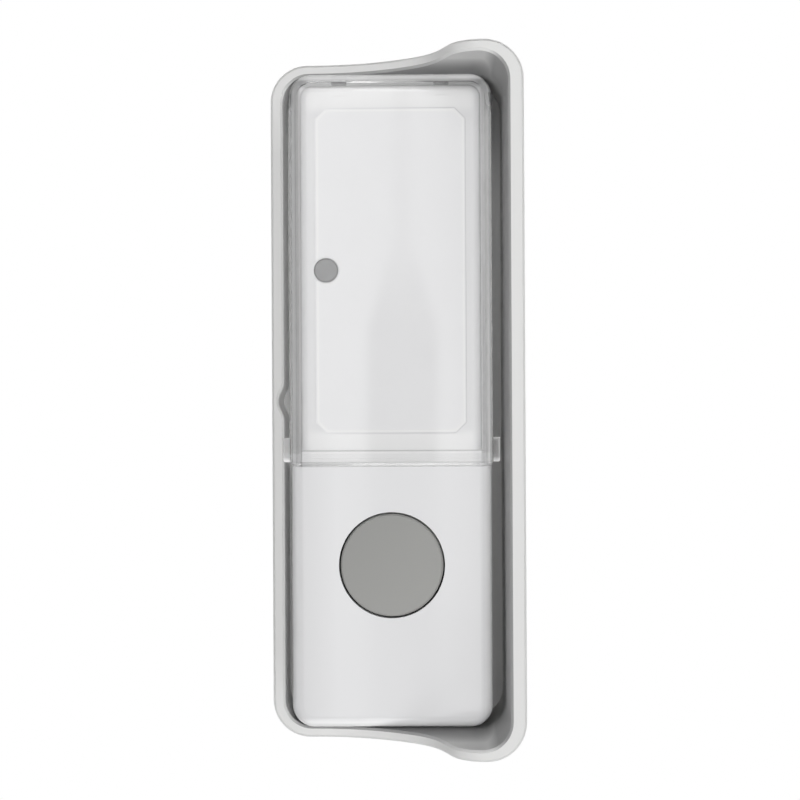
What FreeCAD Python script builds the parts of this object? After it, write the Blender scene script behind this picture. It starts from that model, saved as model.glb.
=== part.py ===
import FreeCAD, Part
import math
import os
import re
import Sketcher

# Wireless doorbell push in its wall tray, in millimetres.
# X runs to the right, Z up, and the wall is the plane Y = 0 with the wall behind it (+Y).
# A depth is a distance from the wall towards the visitor, so a depth of d lies at Y = -d.

SIZES = {
    # wall tray, round the push with room on each side
    "left_gap": 1.6,
    "right_gap": 2.5,
    "end_gap": 0.12,
    "tray_corner": 7.5,
    "tray_inner_corner": 5.4,
    "tray_floor": 2.4,
    "low_rim": 14.4,
    "tall_rim": 35.8,
    "low_wall": 2.4,
    "tall_wall": 3.0,
    "end_wall": 2.18,
    "rim_bevel": 0.45,
    "foot_bevel": 0.5,
    # the S curve of the end walls' rim, from the low side to the tall side
    "rim_crest": 18.0,
    "hollow_radius": 35.0,
    "hollow_angle": 35.0,
    "sweep_radius": 14.7,
    "steep_angle": 68.0,
    "crown_radius": 7.1,
    # thumb notch in the low wall
    "notch_half": 4.0,
    "notch_depth": 1.1,
    "notch_crown": 3.6,
    # wall screw holes, through the tray and the base plate
    "wall_hole_spacing": 80.0,
    "wall_hole_radius": 2.1,
    "wall_head_radius": 4.0,
    "wall_head_sink": 1.0,
    # foam pads and base plate
    "pad_half": 11.0,
    "pad_low": 10.0,
    "pad_high": 32.0,
    "pad_thick": 0.8,
    "base_thick": 1.6,
    "base_gap": 0.4,
    "base_corner": 2.5,
    "catch_place": 38.0,
    "catch_half": 3.5,
    "catch_thick": 1.0,
    "catch_height": 3.6,
    "catch_nose": 0.8,
    "catch_nose_high": 1.0,
    "catch_gap": 0.3,
    "rib_depth": 0.9,
    "rib_high": 1.0,
    # front casing
    "casing_half": 20.2,
    "casing_reach": 65.65,
    "casing_corner": 4.5,
    "front_room": 7.0,
    "casing_lift": 0.3,
    "casing_wall": 1.6,
    "front_wall": 1.8,
    "front_round": 2.5,
    "pry_half": 3.0,
    "pry_high": 1.4,
    # name deck, recessed below the front
    "deck_drop": 2.0,
    "deck_wall": 1.6,
    "deck_top_gap": 0.3,
    "deck_corner": 2.5,
    "deck_round": 1.5,
    "deck_gap": 0.6,
    "ledge_room": 0.4,
    "groove_drop": 1.0,
    "sink_place_x": 10.3,
    "sink_inset": 2.6,
    "sink_half": 1.55,
    "sink_high": 0.5,
    "sink_depth": 0.2,
    # clear cover
    "cover_end": 12.9,
    "cover_gap": 0.3,
    "cover_out": 0.2,
    "cover_wall": 1.6,
    "pane_thick": 1.6,
    "end_skirt": 1.3,
    "end_gap_inside": 1.7,
    "top_skirt_drop": 2.4,
    "cover_round": 2.0,
    "cover_end_bevel": 0.5,
    "hinge_inset": 3.0,
    "lip_half": 1.5,
    "lip_reach": 1.0,
    "lip_tab": 0.8,
    "lip_drop": 3.9,
    "lip_thick": 0.8,
    "lip_gap": 0.35,
    "ear_out": 1.6,
    "ear_lift": 0.6,
    "ear_tall": 4.9,
    "ear_face_drop": 1.2,
    "ear_back_drop": 2.6,
    "ear_edge": 0.25,
    "ear_wall": 0.5,
    "ear_sill": 1.3,
    "ear_sill_round": 1.0,
    "ear_hollow": 0.9,
    # name card
    "card_side_gap": 3.0,
    "card_low_gap": 3.3,
    "card_high_gap": 4.85,
    "card_cut": 2.2,
    "card_thick": 0.3,
    # indicator lens and light
    "lens_inset": 2.2,
    "lens_z": 26.3,
    "lens_radius": 2.375,
    "lens_fit": 0.1,
    "lens_stand": 0.15,
    "lens_bevel": 0.25,
    "lens_flange_out": 0.825,
    "lens_flange_thick": 0.8,
    "lens_card_gap": 0.4,
    "led_radius": 1.5,
    "led_gap": 0.3,
    # button
    "button_from_end": 32.75,
    "button_radius": 10.25,
    "button_fit": 0.37,
    "button_edge": 0.3,
    "button_top_wall": 1.4,
    "button_side_wall": 1.3,
    "flange_out": 1.05,
    "flange_thick": 0.7,
    "post_radius": 2.2,
    "post_gap": 0.35,
    "seal_thick": 0.45,
    "seal_inner_gap": 0.15,
    "seal_wide": 0.8,
    "seal_gap": 0.15,
    "collar_gap": 0.4,
    "collar_wall": 1.3,
    "collar_height": 3.0,
    # circuit board and its screws
    "board_side_gap": 1.2,
    "board_low_edge": 4.0,
    "board_high_edge": 6.0,
    "board_thick": 1.2,
    "board_corner": 1.5,
    "boss_inset": 3.2,
    "boss_from_end": 21.65,
    "boss_high_z": 34.0,
    "boss_radius": 2.5,
    "screw_radius": 0.85,
    "screw_fit": 0.05,
    "screw_slot_wide": 0.4,
    "screw_head_radius": 1.9,
    "screw_head": 1.3,
    "screw_reach": 4.2,
    "screw_hole_radius": 1.15,
    # tact switch
    "switch_half": 3.0,
    "switch_high": 3.2,
    "switch_plate": 0.3,
    "switch_foot": 0.9,
    "switch_foot_half": 0.4,
    "switch_foot_thick": 0.25,
    "switch_foot_place": 2.2,
    "plunger_radius": 1.7,
    "plunger_fit": 0.1,
    "plunger_stand": 0.6,
    "plunger_sunk": 1.4,
    "plunger_room": 0.6,
    # coin cell, holder and contacts
    "cell_z": 8.0,
    "cell_radius": 10.0,
    "cell_thick": 3.2,
    "cell_room": 0.8,
    "cell_cap_inset": 1.2,
    "cell_shoulder": 0.35,
    "cell_round": 0.4,
    "holder_gap": 0.3,
    "holder_wall": 1.6,
    "holder_floor": 0.4,
    "holder_high": 3.2,
    "holder_slot_half": 5.0,
    "contact_half": 3.0,
    "contact_thick": 0.3,
    "contact_gap": 0.2,
    "contact_reach": 8.5,
    "contact_foot": 2.4,
    "leaf_half": 2.2,
    "leaf_reach": 7.0,
    "leaf_gap": 0.4,
    # chips, crystal, antenna
    "chip_high": 1.45,
    "chip_foot_thick": 0.2,
    "chip_foot_half": 0.2,
    "chip_foot_out": 1.0,
    "chip_foot_step": 1.27,
    "small_chip_half_x": 1.95,
    "small_chip_half_z": 2.45,
    "small_chip_x": -6.5,
    "small_chip_z": -2.0,
    "large_chip_half_x": 1.95,
    "large_chip_half_z": 4.95,
    "large_chip_x": 5.5,
    "large_chip_z": -1.6,
    "crystal_half_x": 5.6,
    "crystal_half_z": 2.3,
    "crystal_high": 2.4,
    "crystal_x": 2.0,
    "crystal_z": 14.0,
    "crystal_round": 2.2,
    "crystal_flange": 0.35,
    "passive_half_x": 1.0,
    "passive_half_z": 0.6,
    "passive_high": 0.6,
    "passive_step": 3.2,
    "passive_z": 24.0,
    "antenna_half": 9.0,
    "antenna_inset": 1.8,
    "antenna_high": 2.7,
    "antenna_thick": 0.5,
    "antenna_wide": 1.6,
    "antenna_bend": 1.2,
}

doc = FreeCAD.newDocument("doorbell_push")
sheet = doc.addObject("Spreadsheet::Sheet", "Sizes")
for row, (name, number) in enumerate(SIZES.items(), 1):
    sheet.set(f"A{row}", name)
    sheet.set(f"B{row}", str(number))
    sheet.setAlias(f"B{row}", name)
doc.recompute()

# Depths that several pieces share, from the wall outwards, each as a formula on the sheet's sizes.
BASE_BACK = "(tray_floor + pad_thick)"
BASE_FRONT = f"({BASE_BACK} + base_thick)"
CELL_BACK = f"({BASE_FRONT} + cell_room)"
CELL_FRONT = f"({CELL_BACK} + cell_thick)"
BOARD_BACK = f"({CELL_FRONT} + holder_floor)"
BOARD_FRONT = f"({BOARD_BACK} + board_thick)"
CASING_BACK = "(tray_floor + casing_lift)"
CASING_FRONT = f"({BOARD_FRONT} + front_room)"
FRONT_INSIDE = f"({CASING_FRONT} - front_wall)"
DECK_FACE = f"({CASING_FRONT} - deck_drop)"
DECK_INSIDE = f"({DECK_FACE} - deck_wall)"
LEDGE_INSIDE = f"({BOARD_FRONT} + ledge_room)"
LEDGE_FACE = f"({LEDGE_INSIDE} + casing_wall)"
COVER_BACK = f"({LEDGE_FACE} + cover_gap)"
GROOVE_FACE = f"({DECK_FACE} - groove_drop)"
GROOVE_INSIDE = f"({GROOVE_FACE} - casing_wall)"
SKIRT_BACK = f"({GROOVE_FACE} + cover_gap)"
LIP_BACK = f"({CASING_FRONT} - lip_drop)"
SWITCH_TOP = f"({BOARD_FRONT} + switch_high + switch_plate)"
PLUNGER_TOP = f"({SWITCH_TOP} + plunger_stand)"

# Distances from the push's centre line or centre that several pieces share.
TRAY_LEFT = "(casing_half + left_gap + low_wall)"
TRAY_RIGHT = "(casing_half + right_gap + tall_wall)"
TRAY_REACH = "(casing_reach + end_gap + end_wall)"
SHOULDER = "(0 - cover_end - cover_gap)"
COVER_HALF = "(casing_half + cover_out)"
COVER_INSIDE = f"({COVER_HALF} - cover_wall)"
COVER_TOP_INSIDE = "(casing_reach - cover_wall)"
DECK_HALF = f"({COVER_INSIDE} - deck_gap)"
CASING_INSIDE = "(casing_half - casing_wall)"
REACH_INSIDE = "(casing_reach - casing_wall)"
INSIDE_CORNER = "(casing_corner - casing_wall)"
DECK_TOP = f"({COVER_TOP_INSIDE} - deck_top_gap)"
DECK_BOTTOM = "(end_skirt + end_gap_inside - cover_end)"
HINGE_Z = "(casing_reach - hinge_inset)"
CARD_HALF = f"({DECK_HALF} - card_side_gap)"
CARD_TOP = f"({DECK_TOP} - card_high_gap)"
CARD_BOTTOM = f"({DECK_BOTTOM} + card_low_gap)"
LENS_X = f"(lens_inset - {CARD_HALF})"
BOARD_HALF = f"({DECK_HALF} - deck_wall - board_side_gap)"
BOSS_X = f"({BOARD_HALF} - boss_inset)"
BOSS_LOW_Z = "(boss_from_end - casing_reach)"
BOARD_HIGH = "(boss_high_z + board_high_edge)"
BUTTON_Z = "(button_from_end - casing_reach)"
FLANGE_RADIUS = "(button_radius + flange_out)"
FLANGE_FACE = f"({FRONT_INSIDE} - seal_gap - seal_thick)"
COLLAR_INNER = f"({FLANGE_RADIUS} + collar_gap)"


def bound(text):
    """The formula with each size written as its cell in the sheet."""
    return re.sub(r"[a-z_]+", lambda m: "Sizes." + m.group() if m.group() in SIZES else m.group(), text)


def value(text):
    """The number that a formula gives."""
    return float(sheet.evalExpression(bound(text)))


def new_body(label):
    body = doc.addObject("PartDesign::Body", label)
    body.Label = label
    return body


def sketch_on(body, name, role, depth=None):
    """A sketch on an origin plane; XZ_Plane faces the visitor and may stand at a depth."""
    sketch = body.newObject("Sketcher::SketchObject", name)
    plane = [o for o in body.Origin.OriginFeatures if o.Role == role][0]
    sketch.AttachmentSupport = (plane, [""])
    sketch.MapMode = "FlatFace"
    if depth:
        sketch.setExpression("AttachmentOffset.Base.z", bound(depth))
    return sketch


def rule(sketch, formula, *constraint):
    """A dimension of the sketch, bound to a formula."""
    index = sketch.addConstraint(Sketcher.Constraint(*constraint, value(formula)))
    sketch.setExpression(f"Constraints[{index}]", bound(formula))


def place_point(sketch, line, end, x, y):
    """Holds one end of a line at a place given by two formulas."""
    if x == "0":
        sketch.addConstraint(Sketcher.Constraint("PointOnObject", line, end, -2))
    else:
        rule(sketch, x, "DistanceX", -1, 1, line, end)
    if y == "0":
        sketch.addConstraint(Sketcher.Constraint("PointOnObject", line, end, -1))
    else:
        rule(sketch, y, "DistanceY", -1, 1, line, end)


def polygon(sketch, points):
    """A closed outline of straight lines through points given as pairs of formulas."""
    spots = [FreeCAD.Vector(value(x), value(y), 0) for x, y in points]
    count = len(points)
    first = sketch.GeometryCount
    for i in range(count):
        sketch.addGeometry(Part.LineSegment(spots[i], spots[(i + 1) % count]))
    for i in range(count):
        sketch.addConstraint(Sketcher.Constraint("Coincident", first + i, 2, first + (i + 1) % count, 1))
    for i, (x, y) in enumerate(points):
        place_point(sketch, first + i, 1, x, y)


def box(sketch, left, right, low, high):
    """A rectangle from its four sides."""
    polygon(sketch, [(left, low), (right, low), (right, high), (left, high)])


def rounded_box(sketch, left, right, low, high, radius):
    """A rectangle with four round corners of one radius."""
    x0, x1, z0, z1, r = (value(t) for t in (left, right, low, high, radius))
    first = sketch.GeometryCount
    straight = [
        ((x0 + r, z0), (x1 - r, z0)),
        ((x1, z0 + r), (x1, z1 - r)),
        ((x1 - r, z1), (x0 + r, z1)),
        ((x0, z1 - r), (x0, z0 + r)),
    ]
    centres = [(x1 - r, z0 + r), (x1 - r, z1 - r), (x0 + r, z1 - r), (x0 + r, z0 + r)]
    for start, end in straight:
        sketch.addGeometry(Part.LineSegment(FreeCAD.Vector(*start, 0), FreeCAD.Vector(*end, 0)))
    for i, centre in enumerate(centres):
        circle = Part.Circle(FreeCAD.Vector(*centre, 0), FreeCAD.Vector(0, 0, 1), r)
        sketch.addGeometry(Part.ArcOfCircle(circle, (i - 1) * math.pi / 2, i * math.pi / 2))
    for i in range(4):
        arc = first + 4 + i
        sketch.addConstraint(Sketcher.Constraint("Tangent", first + i, 2, arc, 1))
        sketch.addConstraint(Sketcher.Constraint("Tangent", arc, 2, first + (i + 1) % 4, 1))
        sketch.addConstraint(Sketcher.Constraint("Horizontal" if i % 2 == 0 else "Vertical", first + i))
    for i in range(1, 4):
        sketch.addConstraint(Sketcher.Constraint("Equal", first + 4, first + 4 + i))
    rule(sketch, radius, "Radius", first + 4)
    rule(sketch, low, "DistanceY", -1, 1, first, 1)
    rule(sketch, right, "DistanceX", -1, 1, first + 1, 1)
    rule(sketch, high, "DistanceY", -1, 1, first + 2, 1)
    rule(sketch, left, "DistanceX", -1, 1, first + 3, 1)


def circle(sketch, x, z, radius):
    """A circle given by three formulas."""
    centre = FreeCAD.Vector(value(x), value(z), 0)
    index = sketch.addGeometry(Part.Circle(centre, FreeCAD.Vector(0, 0, 1), value(radius)))
    place_point(sketch, index, 3, x, z)
    rule(sketch, radius, "Radius", index)


def pad(body, sketch, length, symmetric=False):
    """Adds the sketch's area over a length, towards the visitor from an XZ sketch."""
    feature = body.newObject("PartDesign::Pad", "pad_" + sketch.Name)
    feature.Profile = sketch
    feature.Midplane = symmetric
    feature.setExpression("Length", bound(length))
    doc.recompute()
    return feature


def pocket(body, sketch, length, symmetric=False):
    """Cuts the sketch's area over a length, towards the visitor from an XZ sketch."""
    before = body.Shape.Volume
    feature = body.newObject("PartDesign::Pocket", "cut_" + sketch.Name)
    feature.Profile = sketch
    feature.Midplane = symmetric
    feature.Reversed = not symmetric
    feature.setExpression("Length", bound(length))
    doc.recompute()
    if not body.Shape.Volume < before - 1e-6:
        raise RuntimeError(f"{feature.Name} cuts nothing")
    return feature


def turn(body, sketch):
    """Turns the sketch (radius across, minus the depth up) about the body's own Y axis."""
    feature = body.newObject("PartDesign::Revolution", "turn_" + sketch.Name)
    feature.Profile = sketch
    feature.ReferenceAxis = (sketch, ["V_Axis"])
    feature.Angle = 360
    doc.recompute()
    return feature


def fillet(body, name, edges, radius):
    feature = body.newObject("PartDesign::Fillet", name)
    feature.Base = (feature.BaseFeature, edges)
    feature.setExpression("Radius", bound(radius))
    doc.recompute()
    return feature


def bevel(body, name, edges, size):
    """Cuts edges at 45 degrees."""
    feature = body.newObject("PartDesign::Chamfer", name)
    feature.Base = (feature.BaseFeature, edges)
    feature.setExpression("Size", bound(size))
    doc.recompute()
    return feature


def edges_of(body, wanted):
    """Names of the body's edges for which wanted(edge) is true."""
    return [f"Edge{i}" for i, edge in enumerate(body.Tip.Shape.Edges, 1) if wanted(edge)]


def middle(edge):
    """The point halfway along an edge."""
    return edge.valueAt((edge.FirstParameter + edge.LastParameter) / 2)


def at_depth(edge, depth):
    """True where all of an edge lies at one depth."""
    box_of = edge.BoundBox
    return abs(box_of.YMin + depth) < 1e-4 and abs(box_of.YMax + depth) < 1e-4


def along_depth(edge):
    """True for a straight edge that runs square to the wall."""
    box_of = edge.BoundBox
    return box_of.XLength < 1e-4 and box_of.ZLength < 1e-4


def stand_at(obj, x, z):
    """Moves a piece that was turned about its own axis to its place on the push."""
    obj.setExpression("Placement.Base.x", bound(x))
    obj.setExpression("Placement.Base.z", bound(z))


def block(name, left, right, low, high, back, front):
    """A plain block from its six sides; back and front are depths."""
    solid = doc.addObject("Part::Box", name)
    solid.setExpression("Length", bound(f"({right}) - ({left})"))
    solid.setExpression("Width", bound(f"({front}) - ({back})"))
    solid.setExpression("Height", bound(f"({high}) - ({low})"))
    solid.setExpression("Placement.Base.x", bound(left))
    solid.setExpression("Placement.Base.y", bound(f"0 - ({front})"))
    solid.setExpression("Placement.Base.z", bound(low))
    return solid


def pin(name, x, z, radius, back, front, sides=0):
    """A pin square to the wall between two depths, round or with flat sides."""
    if sides:
        solid = doc.addObject("Part::Prism", name)
        solid.Polygon = sides
        solid.setExpression("Circumradius", bound(radius))
    else:
        solid = doc.addObject("Part::Cylinder", name)
        solid.setExpression("Radius", bound(radius))
    solid.setExpression("Height", bound(f"({front}) - ({back})"))
    solid.Placement.Rotation = FreeCAD.Rotation(FreeCAD.Vector(1, 0, 0), 90)
    solid.setExpression("Placement.Base.x", bound(x))
    solid.setExpression("Placement.Base.y", bound(f"0 - ({back})"))
    solid.setExpression("Placement.Base.z", bound(z))
    return solid


def fused(label, solids):
    whole = doc.addObject("Part::MultiFuse", label)
    whole.Label = label
    whole.Shapes = solids
    return whole


def rim_profile(sketch):
    """The tray seen from its end: floor line, low wall, S curve, crest and tall wall."""
    hollow, sweep, crown = value("hollow_radius"), value("sweep_radius"), value("crown_radius")
    a, b = math.radians(value("hollow_angle")), math.radians(value("steep_angle"))
    low, tall, crest = value("low_rim"), value("tall_rim"), value("rim_crest")
    left, right = value(TRAY_LEFT), value(TRAY_RIGHT)
    rise = hollow * (1 - math.cos(a)) + sweep * (math.cos(a) - math.cos(b)) + crown * (1 - math.cos(b))
    straight = (tall - low - rise) / math.sin(b)
    top = FreeCAD.Vector(crest - crown * math.sin(b), -(tall - crown * (1 - math.cos(b))), 0)
    foot = top - FreeCAD.Vector(straight * math.cos(b), -straight * math.sin(b), 0)
    sweep_centre = foot + FreeCAD.Vector(-sweep * math.sin(b), -sweep * math.cos(b), 0)
    joint = sweep_centre + FreeCAD.Vector(sweep * math.sin(a), sweep * math.cos(a), 0)
    hollow_centre = joint + FreeCAD.Vector(-hollow * math.sin(a), -hollow * math.cos(a), 0)
    start = FreeCAD.Vector(hollow_centre.x, -low, 0)
    crown_centre = FreeCAD.Vector(crest, -(tall - crown), 0)
    up = FreeCAD.Vector(0, 0, 1)
    quarter = math.pi / 2

    sketch.addGeometry(Part.LineSegment(FreeCAD.Vector(-left, 0, 0), FreeCAD.Vector(-left, -low, 0)))
    sketch.addGeometry(Part.LineSegment(FreeCAD.Vector(-left, -low, 0), start))
    sketch.addGeometry(Part.ArcOfCircle(Part.Circle(hollow_centre, up, hollow), quarter - a, quarter))
    sketch.addGeometry(Part.ArcOfCircle(Part.Circle(sweep_centre, up, sweep), quarter - b, quarter - a))
    sketch.addGeometry(Part.LineSegment(foot, top))
    sketch.addGeometry(Part.ArcOfCircle(Part.Circle(crown_centre, up, crown), -quarter - b, -quarter))
    sketch.addGeometry(Part.LineSegment(FreeCAD.Vector(crest, -tall, 0), FreeCAD.Vector(right, -tall, 0)))
    sketch.addGeometry(Part.LineSegment(FreeCAD.Vector(right, -tall, 0), FreeCAD.Vector(right, 0, 0)))
    sketch.addGeometry(Part.LineSegment(FreeCAD.Vector(right, 0, 0), FreeCAD.Vector(-left, 0, 0)))
    for pair in ((0, 2, 1, 1), (6, 2, 7, 1), (7, 2, 8, 1), (8, 2, 0, 1)):
        sketch.addConstraint(Sketcher.Constraint("Coincident", *pair))
    for pair in ((1, 2, 2, 2), (2, 1, 3, 2), (3, 1, 4, 1), (4, 2, 5, 1), (5, 2, 6, 1)):
        sketch.addConstraint(Sketcher.Constraint("Tangent", *pair))
    for line in (1, 6):
        sketch.addConstraint(Sketcher.Constraint("Horizontal", line))
    place_point(sketch, 0, 1, f"0 - {TRAY_LEFT}", "0")
    rule(sketch, f"0 - {TRAY_LEFT}", "DistanceX", -1, 1, 0, 2)
    rule(sketch, "0 - low_rim", "DistanceY", -1, 1, 0, 2)
    rule(sketch, "0 - tall_rim", "DistanceY", -1, 1, 6, 1)
    rule(sketch, "rim_crest", "DistanceX", -1, 1, 6, 1)
    rule(sketch, TRAY_RIGHT, "DistanceX", -1, 1, 6, 2)
    place_point(sketch, 7, 2, TRAY_RIGHT, "0")
    rule(sketch, "hollow_radius", "Radius", 2)
    rule(sketch, "sweep_radius", "Radius", 3)
    rule(sketch, "crown_radius", "Radius", 5)
    for index, text, number in ((2, "hollow_angle", a), (4, "0 - steep_angle", -b)):
        added = sketch.addConstraint(Sketcher.Constraint("Angle", index, number))
        sketch.setExpression(f"Constraints[{added}]", f"({bound(text)}) * 1 deg")


def notch_profile(sketch):
    """The thumb notch seen from the front: a round crown between two round flanks."""
    half, depth, crown = value("notch_half"), value("notch_depth"), value("notch_crown")
    turn_angle = 2 * math.atan(depth / half)
    flank = half / math.sin(turn_angle) - crown
    wall = value("low_wall") - value(TRAY_LEFT)
    inner = wall + value("low_wall")
    up = FreeCAD.Vector(0, 0, 1)
    crown_centre = FreeCAD.Vector(wall - depth + crown, 0, 0)
    arcs = [
        Part.ArcOfCircle(Part.Circle(crown_centre, up, crown), math.pi - turn_angle, math.pi + turn_angle),
        Part.ArcOfCircle(Part.Circle(FreeCAD.Vector(wall - flank, half, 0), up, flank), -turn_angle, 0),
        Part.ArcOfCircle(Part.Circle(FreeCAD.Vector(wall - flank, -half, 0), up, flank), 0, turn_angle),
    ]
    lines = [
        Part.LineSegment(FreeCAD.Vector(wall, half, 0), FreeCAD.Vector(inner, half, 0)),
        Part.LineSegment(FreeCAD.Vector(inner, half, 0), FreeCAD.Vector(inner, -half, 0)),
        Part.LineSegment(FreeCAD.Vector(inner, -half, 0), FreeCAD.Vector(wall, -half, 0)),
    ]
    sketch.addGeometry(arcs + lines)
    for pair in ((0, 1, 1, 1), (0, 2, 2, 2)):
        sketch.addConstraint(Sketcher.Constraint("Tangent", *pair))
    for pair in ((1, 2, 3, 1), (3, 2, 4, 1), (4, 2, 5, 1), (5, 2, 2, 1)):
        sketch.addConstraint(Sketcher.Constraint("Coincident", *pair))
    for line in (3, 5):
        sketch.addConstraint(Sketcher.Constraint("Horizontal", line))
    sketch.addConstraint(Sketcher.Constraint("Vertical", 4))
    sketch.addConstraint(Sketcher.Constraint("Equal", 1, 2))
    sketch.addConstraint(Sketcher.Constraint("PointOnObject", 0, 3, -1))
    rule(sketch, "notch_crown", "Radius", 0)
    rule(sketch, f"low_wall - {TRAY_LEFT} - notch_depth + notch_crown", "DistanceX", -1, 1, 0, 3)
    place_point(sketch, 1, 2, f"low_wall - {TRAY_LEFT}", "notch_half")
    rule(sketch, "0 - notch_half", "DistanceY", -1, 1, 2, 1)
    rule(sketch, f"low_wall - {TRAY_LEFT}", "DistanceX", -1, 1, 2, 1)
    rule(sketch, f"low_wall * 2 - {TRAY_LEFT}", "DistanceX", -1, 1, 4, 1)
    sketch.addConstraint(Sketcher.Constraint("Horizontal", 1, 3, 1, 2))


def rim_edges(body):
    """The inner and outer outlines of the rim: edges that border just one rim face."""
    shape = body.Tip.Shape
    floor = value("tray_floor")
    seen = {}
    for face in shape.Faces:
        u0, u1, v0, v1 = face.ParameterRange
        normal = face.normalAt((u0 + u1) / 2, (v0 + v1) / 2)
        if normal.y < -0.1 and -face.CenterOfMass.y > floor + 1:
            for edge in face.Edges:
                seen[edge.hashCode()] = seen.get(edge.hashCode(), 0) + 1
    return [f"Edge{i}" for i, edge in enumerate(shape.Edges, 1) if seen.get(edge.hashCode()) == 1]


def make_wall_tray():
    body = new_body("wall_tray")
    profile = sketch_on(body, "tray_profile", "XY_Plane")
    rim_profile(profile)
    pad(body, profile, f"{TRAY_REACH} * 2", symmetric=True)
    fillet(body, "tray_corners", edges_of(body, along_depth), "tray_corner")

    cavity = sketch_on(body, "tray_cavity", "XZ_Plane", "tray_floor")
    rounded_box(
        cavity,
        "0 - casing_half - left_gap",
        "casing_half + right_gap",
        "0 - casing_reach - end_gap",
        "casing_reach + end_gap",
        "tray_inner_corner",
    )
    pocket(body, cavity, "tall_rim")
    notch = sketch_on(body, "thumb_notch", "XZ_Plane", "tray_floor")
    notch_profile(notch)
    pocket(body, notch, "tall_rim")
    bevel(body, "rim_bevel", rim_edges(body), "rim_bevel")
    bevel(body, "foot_bevel", edges_of(body, lambda e: at_depth(e, 0)), "foot_bevel")
    holes = sketch_on(body, "tray_wall_holes", "XZ_Plane", "0 - tray_floor")
    for side in ("", "0 - "):
        circle(holes, "0", f"{side}wall_hole_spacing / 2", "wall_hole_radius")
    pocket(body, holes, "tray_floor * 3")
    return body


def make_mounting_pads():
    body = new_body("mounting_pads")
    upper = sketch_on(body, "pad_upper", "XZ_Plane", "tray_floor")
    rounded_box(upper, "0 - pad_half", "pad_half", "pad_low", "pad_high", "base_corner")
    pad(body, upper, "pad_thick")
    mirror = doc.addObject("Part::Mirroring", "pad_lower")
    mirror.Source = body
    mirror.Normal = FreeCAD.Vector(0, 0, 1)
    both = doc.addObject("Part::Compound", "mounting_pads_pair")
    both.Links = [body, mirror]
    body.Label = "pad_upper_body"
    both.Label = "mounting_pads"
    return both


def make_base_plate():
    body = new_body("base_plate")
    plate = sketch_on(body, "base_outline", "XZ_Plane", BASE_BACK)
    half = f"({CASING_INSIDE} - base_gap)"
    reach = f"({REACH_INSIDE} - base_gap)"
    rounded_box(plate, f"0 - {half}", half, f"0 - {reach}", reach, "base_corner")
    pad(body, plate, "base_thick")

    arm_outer = f"({CASING_INSIDE} - rib_depth - catch_gap)"
    arms = sketch_on(body, "catch_arms", "XZ_Plane", BASE_FRONT)
    noses = sketch_on(body, "catch_noses", "XZ_Plane", f"{BASE_FRONT} + catch_height - catch_nose_high")
    for side in ("", "0 - "):
        for end in ("", "0 - "):
            inner_x = f"{side}({arm_outer} - catch_thick)"
            outer_x = f"{side}{arm_outer}"
            nose_x = f"{side}({arm_outer} + catch_nose)"
            low = f"{end}catch_place - catch_half"
            high = f"{end}catch_place + catch_half"
            left, right = (inner_x, outer_x) if side == "" else (outer_x, inner_x)
            box(arms, left, right, low, high)
            left, right = (outer_x, nose_x) if side == "" else (nose_x, outer_x)
            box(noses, left, right, low, high)
    pad(body, arms, "catch_height")
    pad(body, noses, "catch_nose_high")

    holes = sketch_on(body, "base_wall_holes", "XZ_Plane", f"{BASE_BACK} - base_thick")
    sinks = sketch_on(body, "base_head_sinks", "XZ_Plane", f"{BASE_FRONT} - wall_head_sink")
    for side in ("", "0 - "):
        circle(holes, "0", f"{side}wall_hole_spacing / 2", "wall_hole_radius")
        circle(sinks, "0", f"{side}wall_hole_spacing / 2", "wall_head_radius")
    pocket(body, holes, "base_thick * 3")
    pocket(body, sinks, "base_thick")
    return body


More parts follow.
